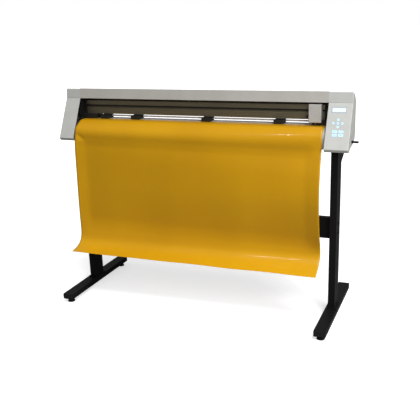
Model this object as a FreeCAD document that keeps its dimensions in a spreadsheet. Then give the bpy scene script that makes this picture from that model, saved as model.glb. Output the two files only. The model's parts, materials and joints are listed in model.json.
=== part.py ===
"""Vinyl cutter on a stand: a wide media plotter with a travelling knife carriage.

Frame: millimetres, +Z up, +X to the operator's right, the operator stands on the -Y side.
The origin is on the floor, midway between the two outermost points in X and midway
between the front and rear ends of the feet.
"""
import FreeCAD
import Part
import Sketcher
import math
import os
import re

V = FreeCAD.Vector
doc = FreeCAD.newDocument("VinylCutter")

# ---------------------------------------------------------------------------------------
# Driving dimensions. Each cell holds a plain number in millimetres, or degrees for angles.
# ---------------------------------------------------------------------------------------
CELLS = {
    # across the machine
    "left_face": -816.5,
    "overall_width": 1600,
    "left_cover_width": 89,
    "right_cover_width": 116,
    "side_plate_thick": 5,
    "sheet_metal": 3,
    "thin_sheet": 2,
    "play": 0.4,
    # end cover outline, seen from the side (Y, Z)
    "crease_front": -30,
    "crease_level": 1120,
    "brow_front": -23,
    "brow_level": 1174,
    "rear_face": 85,
    "roof_rear_level": 1119,
    "nose_front": -135,
    "nose_level": 912,
    "lip_front": -127,
    "lip_level": 899,
    "lip_under": -105,
    "lip_bottom": 894,
    "belly_front": -78,
    "belly_level": 907,
    "belly_rear": 60,
    "belly_rear_level": 930,
    "rear_low_level": 955,
    "cover_wall": 3,
    "corner_start": 8,
    "corner_trim": 7,
    "seam_width": 2,
    "seam_depth": 1.2,
    # stand
    "leg_inset": 80,
    "leg_wide": 35,
    "leg_deep": 90,
    "tube_wall": 2,
    "foot_length": 630,
    "foot_wide": 60,
    "foot_tall": 30,
    "foot_clearance": 23,
    "leg_plate": 4,
    "head_plate": 6,
    "head_depth": 150,
    "head_reach": 110,
    "head_bolt_back": 50,
    "pan_level": 906,
    "crossbar_mid": 483,
    "crossbar_tall": 110,
    "crossbar_deep": 30,
    "crossbar_end": 6,
    "bolt_rise": 27,
    "bolt_hole": 4.2,
    "bolt_head": 4.5,
    "accessory_low": 291,
    "accessory_high": 797,
    "accessory_hole": 3.3,
    "levelling_reach": 285,
    "pad_radius": 21,
    "pad_tall": 8,
    "stem_radius": 5,
    "stem_hole": 5.1,
    # rear media rollers
    "arm_wall": 3,
    "arm_root_level": 818,
    "arm_knee": 110,
    "arm_knee_level": 846,
    "arm_tip": 245,
    "arm_tip_level": 905,
    "roller_radius": 20,
    "front_roller_back": 130,
    "front_roller_level": 936,
    "rear_roller_back": 212,
    "rear_roller_level": 944,
    "roller_end": 5,
    "roller_end_play": 4,
    "roller_vent": 3,
    "spindle_radius": 5,
    "spindle_bore": 5.05,
    # bed
    "bed_level": 1004,
    "bed_front": -40,
    "bed_thick": 3,
    "bed_rear": 72,
    "apron_radius": 55,
    "apron_foot": 908,
    "pan_front": -78,
    "pan_rear": 82,
    "pan_front_level": 925,
    "pan_rear_level": 983,
    # side plate outline (Y, Z), from its toe up to its peak
    "plate_toe_level": 940,
    "plate_slope_front": -84,
    "plate_slope_level": 974,
    "plate_knee_front": -46,
    "plate_knee_level": 998,
    "plate_neck_front": -27,
    "plate_neck_low": 1003,
    "plate_neck_high": 1114,
    "plate_peak_front": -18,
    "plate_peak_level": 1156,
    "plate_rear_level": 1116,
    # feed drive
    "pinch_line": 2,
    "shaft_radius": 6,
    "grit_radius": 9.7,
    "grit_length": 90,
    "grit_pitch": 200,
    "slot_half": 11,
    "knife_line": -17,
    "strip_wide": 6,
    "strip_thick": 1.5,
    "drive_pulley_radius": 20,
    "motor_pulley_radius": 8,
    "belt_wide": 8,
    "belt_thick": 1.5,
    "feed_motor_back": 38,
    "feed_motor_level": 947,
    "motor_square": 57,
    "motor_length": 50,
    # beam
    "beam_front": 10,
    "beam_rear": 65,
    "beam_low": 1031,
    "beam_high": 1104,
    "groove_low": 1067,
    "groove_high": 1082,
    "groove_depth": 11,
    "beam_wall": 3,
    "band_level": 1042,
    "end_block_long": 81,
    "bracket_wide": 22,
    # carriage drive
    "belt_back": 25,
    "belt_level": 1075,
    "belt_pulley_radius": 9.5,
    "carriage_motor_x": 697,
    "idler_x": -744.5,
    "carriage_belt_wide": 6,
    # carriage
    "carriage_x": 599,
    "carriage_wide": 61,
    "carriage_front": -32,
    "carriage_back": 2,
    "carriage_low": 1021,
    "carriage_step": 1034,
    "carriage_high": 1110,
    "knob_level": 1050,
    "knife_level": 1017,
    "knife_long": 58,
    "knife_radius": 5.7,
    "knife_collar_level": 1028,
    "knife_dial_level": 1073,
    "knife_nose": 5.5,
    "knife_tip": 1.8,
    # pinch units and their lift
    "lift_back": 42,
    "lift_level": 1018,
    "lift_bar": 8,
    "arm_front": -9,
    "pinch_wide": 50,
    "pinch_low": 1007,
    "pinch_high": 1026.5,
    "wheel_radius": 9,
    "wheel_wide": 24,
    "wheel_level": 1014.8,
    "lever_back": 0,
    "lever_level": 942,
    "handle_back": -46,
    "handle_level": 937,
    "handle_radius": 5.5,
    "handle_tip": 33,
    "crank_reach": 51.66,
    "lever_crank": 9.66,
    "lever_crank_drop": 2.59,
    "link_bore": 2.5,
    # operator panel on the sloping front of the right cover, distances along the slope
    "screen_x": 720.5,
    "screen_down": 35,
    "screen_wide": 72,
    "screen_tall": 30,
    "arrows_x": 721.5,
    "arrows_down": 102,
    "arrow_pitch": 18,
    "key_radius": 5.5,
    "wide_keys_x": 725.5,
    "wide_key_down": 143,
    "wide_key_pitch": 18,
    "wide_key_long": 22,
    "wide_key_tall": 12,
    "wide_key_space": 8,
    "key_gap": 0.5,
    "key_proud": 1.5,
    "key_under": 4,
    # power supply and main board on the pan, as distances from the left face and the middle
    "supply_left": 180,
    "supply_front": -70,
    "supply_long": 200,
    "supply_deep": 98,
    "supply_tall": 42,
    "board_left": 380,
    "board_front": -71,
    "board_long": 170,
    "board_deep": 110,
    "board_rise": 8,
    "board_thick": 1.6,
    # sockets on the rear of the right cover
    "socket_x": 725.5,
    "socket_level": 985,
    "data_x": 688.5,
    "switch_level": 1022,
    # loaded sheet
    "media_left": -719.5,
    "media_wide": 1371,
    "media_thick": 1,
    "media_gap": 0.4,
    "media_tail": 6,
}

# Distances that follow from the driving ones.
DERIVED = {
    "right_face": "left_face + overall_width",
    "throat_left": "left_face + left_cover_width",
    "throat_right": "right_face - right_cover_width",
    "bay_left": "throat_left + side_plate_thick",
    "bay_right": "throat_right - side_plate_thick",
    "bay_wide": "bay_right - bay_left",
    "left_leg_x": "left_face + leg_inset",
    "right_leg_x": "right_face - leg_inset",
    "foot_top": "foot_clearance + foot_tall",
    "head_level": "pan_level - head_plate",
    "shaft_level": "bed_level + 0.1 - grit_radius",
    "media_level": "bed_level + media_gap",
    "apron_axis_level": "bed_level - 1 - apron_radius",
}

sheet = doc.addObject("Spreadsheet::Sheet", "Dimensions")
for row, (alias, number) in enumerate(CELLS.items(), start=1):
    sheet.set(f"A{row}", alias.replace("_", " "))
    sheet.set(f"B{row}", str(number))
    sheet.setAlias(f"B{row}", alias)
doc.recompute()

WORD = re.compile(r"[a-z][a-z_]*")


def full(expression):
    """Spell an expression out in terms of the spreadsheet's cells."""
    def swap(match):
        word = match.group(0)
        if word in CELLS:
            return f"Dimensions.{word}"
        if word in DERIVED:
            return f"({full(DERIVED[word])})"
        return word
    return WORD.sub(swap, str(expression))


def number(expression):
    """The value of an expression, in millimetres."""
    result = doc.Dimensions.evalExpression(full(expression))
    return float(getattr(result, "Value", result))


def bind(thing, target, expression):
    """Tie one property of an object to the spreadsheet."""
    thing.setExpression(target, full(expression))


# ---------------------------------------------------------------------------------------
# Sketches and features
# ---------------------------------------------------------------------------------------
PLANES = {"X": "YZ_Plane", "Y": "XZ_Plane", "Z": "XY_Plane"}
NODES = {}


def node(thing, label):
    """Give a finished sub-part the name that its file will carry."""
    thing.Label = label
    NODES[label] = thing
    return thing


def new_body(name):
    return doc.addObject("PartDesign::Body", name)


def draw_polygon(sketch, corners):
    """A closed outline whose corners are each held at a distance from the sketch's origin."""
    places = [V(number(across), number(up), 0) for across, up in corners]
    first = sketch.GeometryCount
    count = len(places)
    for i in range(count):
        sketch.addGeometry(Part.LineSegment(places[i], places[(i + 1) % count]))
    for i in range(count):
        sketch.addConstraint(Sketcher.Constraint("Coincident", first + i, 2, first + (i + 1) % count, 1))
    for i, (across, up) in enumerate(corners):
        hold(sketch, "DistanceX", first + i, 1, places[i].x, across)
        hold(sketch, "DistanceY", first + i, 1, places[i].y, up)


def hold(sketch, kind, geometry, point, value, expression):
    index = sketch.addConstraint(Sketcher.Constraint(kind, -1, 1, geometry, point, value))
    bind(sketch, f"Constraints[{index}]", expression)


def draw_circle(sketch, across, up, radius):
    middle = V(number(across), number(up), 0)
    circle = sketch.addGeometry(Part.Circle(middle, V(0, 0, 1), number(radius)))
    hold(sketch, "DistanceX", circle, 3, middle.x, across)
    hold(sketch, "DistanceY", circle, 3, middle.y, up)
    index = sketch.addConstraint(Sketcher.Constraint("Radius", circle, number(radius)))
    bind(sketch, f"Constraints[{index}]", radius)


def draw_sketch(body, axis, start, loops):
    """A sketch square to an axis; a loop is a list of corners or a (across, up, radius) circle."""
    plane = [f for f in body.Origin.OriginFeatures if f.Role == PLANES[axis]][0]
    sketch = body.newObject("Sketcher::SketchObject", "Outline")
    sketch.AttachmentSupport = [(plane, "")]
    sketch.MapMode = "FlatFace"
    # The XZ plane's normal points to -Y, so its offset is counted the other way.
    bind(sketch, "AttachmentOffset.Base.z", f"-1 * ({start})" if axis == "Y" else start)
    for loop in loops:
        if isinstance(loop, tuple):
            draw_circle(sketch, *loop)
        else:
            draw_polygon(sketch, loop)
    return sketch


def pad(body, axis, start, length, *loops):
    """Add material from start towards the positive axis."""
    feature = body.newObject("PartDesign::Pad", "Pad")
    sketch = draw_sketch(body, axis, start, loops)
    feature.Profile = sketch
    feature.Reversed = axis == "Y"
    bind(feature, "Length", length)
    body.Tip = feature
    doc.recompute()
    return feature


def pocket(body, axis, start, length, *loops):
    """Remove material from start towards the positive axis, and check that some went."""
    before = body.Shape.Volume
    feature = body.newObject("PartDesign::Pocket", "Pocket")
    sketch = draw_sketch(body, axis, start, loops)
    feature.Profile = sketch
    feature.Reversed = axis != "Y"
    bind(feature, "Length", length)
    body.Tip = feature
    doc.recompute()
    if body.Shape.Volume >= before:
        raise RuntimeError(f"{body.Name}: a pocket removed nothing")
    return feature


def rectangle(left, low, wide, tall):
    return [(left, low), (f"{left} + {wide}", low),
            (f"{left} + {wide}", f"{low} + {tall}"), (left, f"{low} + {tall}")]


def centred(across, up, wide, tall):
    return rectangle(f"{across} - ({wide}) / 2", f"{up} - ({tall}) / 2", f"({wide})", f"({tall})")


def block(name, corner, size):
    """A box whose corner and size follow the spreadsheet."""
    box = doc.addObject("Part::Box", name)
    for side, expression in zip(("Length", "Width", "Height"), size):
        bind(box, side, expression)
    for letter, expression in zip("xyz", corner):
        bind(box, f"Placement.Base.{letter}", expression)
    return box


TURNS = {"X": (V(0, 1, 0), 90), "Y": (V(1, 0, 0), -90), "Z": (V(0, 0, 1), 0)}


def rod(name, axis, start, radius, length, kind="Part::Cylinder", tip_radius=None):
    """A cylinder or cone that runs from start towards the positive axis."""
    thing = doc.addObject(kind, name)
    bind(thing, "Height", length)
    if kind == "Part::Cone":
        bind(thing, "Radius1", radius)
        bind(thing, "Radius2", tip_radius)
    else:
        bind(thing, "Radius", radius)
    turn_axis, angle = TURNS[axis]
    thing.Placement = FreeCAD.Placement(V(), FreeCAD.Rotation(turn_axis, angle))
    for letter, expression in zip("xyz", start):
        bind(thing, f"Placement.Base.{letter}", expression)
    return thing


def fuse(name, *pieces):
    thing = doc.addObject("Part::MultiFuse", name)
    thing.Shapes = list(pieces)
    return thing


def cut(name, base, *tools):
    thing = doc.addObject("Part::Cut", name)
    thing.Base = base
    thing.Tool = tools[0] if len(tools) == 1 else fuse(f"{name}Tools", *tools)
    return thing


def group(name, *pieces):
    """Several separate solids that share one name."""
    thing = doc.addObject("Part::Compound", name)
    thing.Links = list(pieces)
    return thing


def round_edges(body, radius, test):
    """Fillet the edges of a body that a test picks out."""
    base = body.Tip
    feature = body.newObject("PartDesign::Fillet", "Fillet")
    names = [f"Edge{i}" for i, edge in enumerate(base.Shape.Edges, start=1) if test(edge)]
    feature.Base = (base, names)
    bind(feature, "Radius", radius)
    body.Tip = feature
    doc.recompute()


def runs_along(edge, axis):
    box = edge.BoundBox
    spans = {"X": box.XLength, "Y": box.YLength, "Z": box.ZLength}
    others = [span for letter, span in spans.items() if letter != axis]
    return spans[axis] > 1 and max(others) < 0.01


# ---------------------------------------------------------------------------------------
# Stand
# ---------------------------------------------------------------------------------------
SIDES = {"left": "left_leg_x", "right": "right_leg_x"}
ENDS = {"front": -1, "rear": 1}


def make_feet():
    """Two steel tubes on the floor pads, open at the ends, with holes for the stems."""
    tubes = []
    for side, middle in SIDES.items():
        tube = new_body(f"Foot{side}")
        hollow = centred(middle, "foot_clearance + foot_tall / 2",
                         "foot_wide - 2 * tube_wall", "foot_tall - 2 * tube_wall")
        shell = centred(middle, "foot_clearance + foot_tall / 2", "foot_wide", "foot_tall")
        pad(tube, "Y", "-1 * foot_length / 2", "foot_length", shell, hollow)
        stems = [(middle, f"{end} * levelling_reach", "stem_hole") for end in ENDS.values()]
        pocket(tube, "Z", "foot_clearance - 1", "tube_wall + 2", *stems)
        tubes.append(tube)
    node(group("Feet", *tubes), "feet")


def make_end_plugs():
    """Four moulded plugs: a lip as large as the tube and a hollow spigot inside it."""
    plugs = []
    for side, middle in SIDES.items():
        for end, sign in ENDS.items():
            plug = new_body(f"Plug{side}{end}")
            level = "foot_clearance + foot_tall / 2"
            lip_start = "foot_length / 2" if sign > 0 else "-1 * foot_length / 2 - 3"
            spigot_start = "foot_length / 2 - 14" if sign > 0 else "-1 * foot_length / 2"
            pad(plug, "Y", lip_start, "3", centred(middle, level, "foot_wide", "foot_tall"))
            round_edges(plug, "4", lambda edge: runs_along(edge, "Y"))
            outer = centred(middle, level, "foot_wide - 2 * tube_wall - play",
                            "foot_tall - 2 * tube_wall - play")
            inner = centred(middle, level, "foot_wide - 2 * tube_wall - 5", "foot_tall - 2 * tube_wall - 5")
            pad(plug, "Y", spigot_start, "14", outer, inner)
            plugs.append(plug)
    node(group("EndPlugs", *plugs), "foot_end_plugs")


def make_levelling_feet():
    """Floor pads on threaded stems, each with a hexagon that seats under the foot tube."""
    pads = []
    for side, middle in SIDES.items():
        for end, sign in ENDS.items():
            name = f"Leveller{side}{end}"
            back = f"{sign} * levelling_reach"
            rest = rod(f"{name}Pad", "Z", (middle, back, "0"), "pad_radius", "pad_tall", "Part::Cone",
                       "pad_radius - 3")
            neck = rod(f"{name}Neck", "Z", (middle, back, "pad_tall"), "stem_radius + 3",
                       "foot_clearance - pad_tall - 6")
            nut = doc.addObject("Part::Prism", f"{name}Nut")
            nut.Polygon = 6
            bind(nut, "Circumradius", "stem_radius + 4.8")
            bind(nut, "Height", "6")
            bind(nut, "Placement.Base.x", middle)
            bind(nut, "Placement.Base.y", back)
            bind(nut, "Placement.Base.z", "foot_clearance - 6")
            stem = rod(f"{name}Stem", "Z", (middle, back, "foot_clearance - 1"), "stem_radius",
                       "foot_tall - 6")
            pads.append(fuse(name, rest, neck, nut, stem))
    node(group("Levellers", *pads), "levelling_feet")


def make_leg(side, inward):
    """A welded leg: base plate, upright tube and a head plate that reaches under the body."""
    middle = SIDES[side]
    leg = new_body(f"Leg{side}")
    pad(leg, "Z", "foot_top", "leg_plate", centred(middle, "0", "foot_wide - 6", "leg_deep + 20"))
    upright = centred(middle, "0", "leg_wide", "leg_deep")
    hollow = centred(middle, "0", "leg_wide - 2 * tube_wall", "leg_deep - 2 * tube_wall")
    pad(leg, "Z", "foot_top + leg_plate", "head_level - foot_top - leg_plate", upright, hollow)
    reach_middle = f"{middle} + {inward} * (head_reach - leg_wide) / 2"
    pad(leg, "Z", "head_level", "head_plate", centred(reach_middle, "0", "head_reach", "head_depth"))
    bolt_x = f"{middle} + {inward} * (head_reach - leg_wide / 2 - 20)"
    head_bolts = [(bolt_x, f"{end} * head_bolt_back", "bolt_hole") for end in ENDS.values()]
    pocket(leg, "Z", "head_level - 1", "head_plate + 2", *head_bolts)
    crossbar_bolts = [("0", f"crossbar_mid + {end} * bolt_rise", "bolt_hole") for end in ENDS.values()]
    accessory = [("0", level, "accessory_hole") for level in ("accessory_low", "accessory_high")]
    across = f"{middle} - leg_wide / 2 - 1"
    pocket(leg, "X", across, "leg_wide + 2", *crossbar_bolts, *accessory)
    node(leg, f"{side}_leg")


def make_crossbar():
    """Rectangular tube between the legs, with a drilled plate welded into each end."""
    left = "left_leg_x + leg_wide / 2"
    right = "right_leg_x - leg_wide / 2"
    bar = new_body("Crossbar")
    shell = centred("0", "crossbar_mid", "crossbar_deep", "crossbar_tall")
    hollow = centred("0", "crossbar_mid", "crossbar_deep - 2 * tube_wall", "crossbar_tall - 2 * tube_wall")
    pad(bar, "X", left, f"{right} - ({left})", shell, hollow)
    holes = [("0", f"crossbar_mid + {end} * bolt_rise", "bolt_hole") for end in ENDS.values()]
    for start in (left, f"{right} - crossbar_end"):
        pad(bar, "X", start, "crossbar_end", hollow, *holes)
    node(bar, "crossbar")


def make_bolts():
    """Button-head bolts: two through each leg into the crossbar, two up through each head plate."""
    bolts = []
    for side, middle in SIDES.items():
        outward = -1 if side == "left" else 1
        for end, sign in ENDS.items():
            level = f"crossbar_mid + {sign} * bolt_rise"
            name = f"Bolt{side}{end}"
            outer = f"{middle} + leg_wide / 2" if outward > 0 else f"{middle} - leg_wide / 2 - bolt_head"
            shank = f"{middle} - leg_wide / 2 - crossbar_end" if outward > 0 else f"{middle} - leg_wide / 2"
            head = rod(f"{name}Head", "X", (outer, "0", level), "6.5", "bolt_head")
            thread = rod(f"{name}Thread", "X", (shank, "0", level), "4", "leg_wide + crossbar_end")
            bolts.append(fuse(name, head, thread))
            bolt_x = f"{middle} - {outward} * (head_reach - leg_wide / 2 - 20)"
            back = f"{sign} * head_bolt_back"
            cap = rod(f"{name}Cap", "Z", (bolt_x, back, "head_level - bolt_head"), "6.5",
                      "bolt_head")
            screw = rod(f"{name}Screw", "Z", (bolt_x, back, "head_level"), "4", "head_plate + 10")
            bolts.append(fuse(f"{name}Up", cap, screw))
    node(group("Bolts", *bolts), "stand_bolts")


def make_roller_arms():
    """Channel brackets welded behind the legs, which carry the two rear media rollers."""
    arms = []
    outline = [("leg_deep / 2", "arm_root_level"), ("arm_knee", "arm_knee_level"),
               ("arm_tip", "arm_tip_level"), ("arm_tip", "rear_roller_level + 14"),
               ("arm_knee - 10", "front_roller_level + 14"), ("head_depth / 2 + 13", "head_level - 0.5"),
               ("leg_deep / 2", "head_level - 0.5")]
    hollow = [("leg_deep / 2 - 5", "arm_root_level + arm_wall"), ("arm_knee", "arm_knee_level + arm_wall"),
              ("arm_tip + 5", "arm_tip_level + arm_wall"), ("arm_tip + 5", "rear_roller_level + 30"),
              ("leg_deep / 2 - 5", "rear_roller_level + 30")]
    bores = [("front_roller_back", "front_roller_level", "spindle_bore"),
             ("rear_roller_back", "rear_roller_level", "spindle_bore")]
    for side, middle in SIDES.items():
        arm = new_body(f"RollerArm{side}")
        pad(arm, "X", f"{middle} - leg_wide / 2", "leg_wide", outline)
        pocket(arm, "X", f"{middle} - leg_wide / 2 + arm_wall", "leg_wide - 2 * arm_wall", hollow)
        pocket(arm, "X", f"{middle} - leg_wide / 2 - 1", "leg_wide + 2", *bores)
        arms.append(arm)
    node(group("RollerArms", *arms), "roller_arms")


def make_media_roller(place):
    """A steel tube roller with vented end walls on a spindle that turns in the arms."""
    back = f"{place}_roller_back"
    level = f"{place}_roller_level"
    left = "left_leg_x + leg_wide / 2"
    right = "right_leg_x - leg_wide / 2"
    start = f"{left} + roller_end_play"
    length = f"{right} - ({left}) - 2 * roller_end_play"
    barrel = rod(f"{place}Barrel", "X", (start, back, level), "roller_radius", length)
    hollow = rod(f"{place}Hollow", "X", (f"{start} + roller_end", back, level), "roller_radius - tube_wall",
                 f"{length} - 2 * roller_end")
    vent = rod(f"{place}Vent", "X", (f"{start} - 1", back, f"{level} + roller_radius / 2 + 1"), "roller_vent",
               f"{length} + 2")
    spindle = rod(f"{place}Spindle", "X", (f"{left} - 8", back, level), "spindle_radius",
                  f"{right} - ({left}) + 16")
    tube = cut(f"{place}Tube", barrel, hollow, vent)
    node(fuse(f"{place}Roller", tube, spindle), f"{place}_media_roller")


# ---------------------------------------------------------------------------------------
# Body: pan, apron, bed, side plates, beam, covers
# ---------------------------------------------------------------------------------------
def make_pan():
    """Folded steel floor of the body with a low front flange and the rear panel."""
    pan = new_body("Pan")
    outline = [("pan_front", "pan_front_level"), ("pan_front", "pan_level"), ("pan_rear", "pan_level"),
               ("pan_rear", "pan_rear_level"), ("pan_rear - sheet_metal", "pan_rear_level"),
               ("pan_rear - sheet_metal", "pan_level + sheet_metal"),
               ("pan_front + sheet_metal", "pan_level + sheet_metal"),
               ("pan_front + sheet_metal", "pan_front_level")]
    pad(pan, "X", "bay_left", "bay_wide", outline)
    holes = []
    for middle, inward in (("left_leg_x", 1), ("right_leg_x", -1)):
        bolt_x = f"{middle} + {inward} * (head_reach - leg_wide / 2 - 20)"
        holes += [(bolt_x, f"{end} * head_bolt_back", "bolt_hole") for end in ENDS.values()]
    pocket(pan, "Z", "pan_level - 1", "sheet_metal + 2", *holes)
    node(pan, "chassis_pan")


def arc_points(radius, count=9):
    """Corners along the quarter circle of the apron, from its top to its front."""
    points = []
    for i in range(count):
        angle = 90 * i / (count - 1)
        sine = round(math.sin(math.radians(angle)), 6)
        cosine = round(math.cos(math.radians(angle)), 6)
        points.append((f"bed_front - {radius} * {sine}", f"apron_axis_level + {radius} * {cosine}"))
    return points


def make_apron():
    """Curved front sheet that the media slides down, hemmed under at its foot."""
    apron = new_body("Apron")
    outer = arc_points("apron_radius")
    inner = arc_points("(apron_radius - thin_sheet)")
    front = "bed_front - apron_radius"
    hem = [(front, "apron_foot"), ("pan_front - 1", "apron_foot"),
           ("pan_front - 1", "apron_foot + thin_sheet"), (f"{front} + thin_sheet", "apron_foot + thin_sheet")]
    pad(apron, "X", "bay_left", "bay_wide", outer + hem + inner[::-1])
    node(apron, "front_apron")


def grit_positions():
    """Left ends of the knurled rings along the feed shaft."""
    return [f"left_face + 226.5 - grit_length / 2 + {i} * grit_pitch" for i in range(7)]


def make_bed():
    """Flat bed with a slot over each knurled ring and a groove for the cutting strip."""
    bed = new_body("Bed")
    outline = [("bed_front", "bed_level - 10"), ("bed_front", "bed_level"), ("bed_rear", "bed_level"),
               ("bed_rear + 10", "bed_level - 8"), ("bed_rear + 10", "bed_level - 20"),
               ("bed_rear + 10 - bed_thick", "bed_level - 20"),
               ("bed_rear + 10 - bed_thick", "bed_level - 7"), ("bed_rear - 1", "bed_level - bed_thick"),
               ("bed_front + bed_thick", "bed_level - bed_thick"),
               ("bed_front + bed_thick", "bed_level - 10")]
    pad(bed, "X", "bay_left", "bay_wide", outline)
    slots = [rectangle(f"{left} - 3", "pinch_line - slot_half", "(grit_length + 6)", "(2 * slot_half)")
             for left in grit_positions()]
    pocket(bed, "Z", "bed_level - bed_thick - 1", "bed_thick + 2", *slots)
    groove = rectangle("bay_left - 1", "knife_line - strip_wide / 2", "(bay_wide + 2)", "strip_wide")
    pocket(bed, "Z", "bed_level - strip_thick", "strip_thick + 1", groove)
    node(bed, "platen")
    strip = block("Strip", ("bay_left", "knife_line - strip_wide / 2", "bed_level - strip_thick"),
                  ("bay_wide", "strip_wide", "strip_thick"))
    node(strip, "cutting_strip")


PLATE_OUTLINE = [("pan_front - 8", "pan_level + 4"), ("pan_front - 8", "plate_toe_level"),
                 ("plate_slope_front", "plate_slope_level"), ("plate_knee_front", "plate_knee_level"),
                 ("plate_neck_front", "plate_neck_low"), ("plate_neck_front", "plate_neck_high"),
                 ("plate_peak_front", "plate_peak_level"), ("pan_rear", "plate_rear_level"),
                 ("pan_rear", "pan_level")]


def make_left_plate():
    """Left side plate with a shaft bore, a belt window, and a folded tab with the idler's pin."""
    plate = new_body("LeftPlate")
    pad(plate, "X", "throat_left", "side_plate_thick", PLATE_OUTLINE)
    pad(plate, "X", "idler_x - 12", "throat_left - idler_x + 12",
        rectangle("belt_back - 16", "belt_level + 8", "32", "sheet_metal"))
    pad(plate, "Z", "belt_level - 7", "16", ("idler_x", "belt_back", "2.5"))
    drill_plate(plate, "throat_left")
    node(plate, "left_side_plate")


def drill_plate(plate, start):
    belt_window = rectangle("belt_back - 13", "belt_level - 5", "26", "10")
    shaft_bore = ("pinch_line", "shaft_level", "shaft_radius + 5")
    lift_bore = ("lift_back", "lift_level", "lift_bar / 2 + 0.05")
    pocket(plate, "X", f"{start} - 1", "side_plate_thick + 2", belt_window, shaft_bore, lift_bore)


def make_right_plate():
    """Right side plate with the carriage motor's shelf, the lever's stud and the feed motor's bore."""
    plate = new_body("RightPlate")
    pad(plate, "X", "bay_right", "side_plate_thick", PLATE_OUTLINE)
    shelf = rectangle("belt_back - 30", "belt_level + 6", "60", "sheet_metal")
    pad(plate, "X", "throat_right", "carriage_motor_x - throat_right + 30", shelf)
    pad(plate, "X", "throat_right", "right_face - throat_right - 22", ("lever_back", "lever_level", "3"))
    drill_plate(plate, "bay_right")
    motor_bore = ("feed_motor_back", "feed_motor_level", "motor_pulley_radius + 1")
    pocket(plate, "X", "bay_right - 1", "side_plate_thick + 2", motor_bore)
    pocket(plate, "Z", "belt_level + 5", "sheet_metal + 2", ("carriage_motor_x", "belt_back", "12"))
    node(plate, "right_side_plate")


def make_beam():
    """Extruded guide beam: a hollow box with a deep belt groove and a fine step in its face."""
    beam = new_body("Beam")
    outline = [("beam_front", "beam_low"), ("beam_front", "band_level - 1"),
               ("beam_front + 1.5", "band_level - 1"), ("beam_front + 1.5", "band_level"),
               ("beam_front", "band_level"), ("beam_front", "groove_low"),
               ("beam_front + groove_depth", "groove_low"), ("beam_front + groove_depth", "groove_high"),
               ("beam_front", "groove_high"), ("beam_front", "beam_high"), ("beam_rear", "beam_high"),
               ("beam_rear", "beam_low")]
    hollow = rectangle("beam_front + groove_depth + beam_wall", "beam_low + beam_wall",
                       "(beam_rear - beam_front - groove_depth - 2 * beam_wall)",
                       "(beam_high - beam_low - 2 * beam_wall)")
    pad(beam, "X", "bay_left", "bay_wide", outline, hollow)
    node(beam, "beam")
    blocks = []
    for side, start in (("Left", "bay_left"), ("Right", "bay_right - end_block_long")):
        end = new_body(f"EndBlock{side}")
        profile = rectangle("arm_front", "pinch_low + 1", "(beam_rear - arm_front - 8)",
                            "(beam_low - pinch_low - 1)")
        pad(end, "X", start, "end_block_long", profile)
        face = "bay_left" if side == "Left" else "bay_right - bracket_wide"
        bracket = rectangle("beam_front - 5", "beam_low - 1", "5", "(beam_high - beam_low - 1)")
        pad(end, "X", face, "bracket_wide / 2" if side == "Left" else "bracket_wide", bracket)
        lift_hole = ("lift_back", "lift_level", "lift_bar / 2 + 2")
        pocket(end, "X", f"{start} - 1", "end_block_long + 2", lift_hole)
        blocks.append(end)
    node(group("EndBlocks", *blocks), "beam_end_blocks")


def make_top_cover():
    """Folded cover over the beam: a leaning brow, a sloping roof and a rear skirt."""
    cover = new_body("TopCover")
    outline = [("crease_front", "crease_level"), ("brow_front", "brow_level"),
               ("rear_face", "roof_rear_level"), ("rear_face", "beam_low + 8"),
               ("rear_face - thin_sheet", "beam_low + 8"),
               ("rear_face - thin_sheet", "roof_rear_level - 1.4"),
               ("brow_front + 1.6", "brow_level - 2.9"), ("crease_front + 2.1", "crease_level")]
    pad(cover, "X", "throat_left", "throat_right - throat_left", outline)
    round_edges(cover, "1.5", lambda edge: runs_along(edge, "X") and edge.CenterOfMass.z > 1117
                and edge.CenterOfMass.z > number("brow_level") - 1)
    node(cover, "top_cover")


COVER_OUTLINE = [("nose_front", "nose_level"), ("lip_front", "lip_level"), ("lip_under", "lip_bottom"),
                 ("belly_front", "belly_level"), ("belly_rear", "belly_rear_level"),
                 ("rear_face", "rear_low_level"), ("rear_face", "roof_rear_level"),
                 ("brow_front", "brow_level"), ("crease_front", "crease_level")]
COVER_INSIDE = [("nose_front + 3.4", "nose_level + 2"), ("lip_front + 1.5", "lip_level + 3"),
                ("lip_under + 0.5", "lip_bottom + 3.2"), ("belly_front", "belly_level + 3"),
                ("belly_rear - 1.5", "belly_rear_level + 3"), ("rear_face - 3", "rear_low_level + 1.3"),
                ("rear_face - 3", "roof_rear_level - 2"), ("brow_front + 2.3", "brow_level - 4.5"),
                ("crease_front + 3.2", "crease_level - 0.3")]


# The hollow in front of the trimmed corner, which reaches all the way to the outer wall.
COVER_FRONT_INSIDE = [*COVER_INSIDE[:4], ("5", "belly_level + 17"), ("5", "brow_level - 19"),
                      *COVER_INSIDE[7:]]


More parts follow.
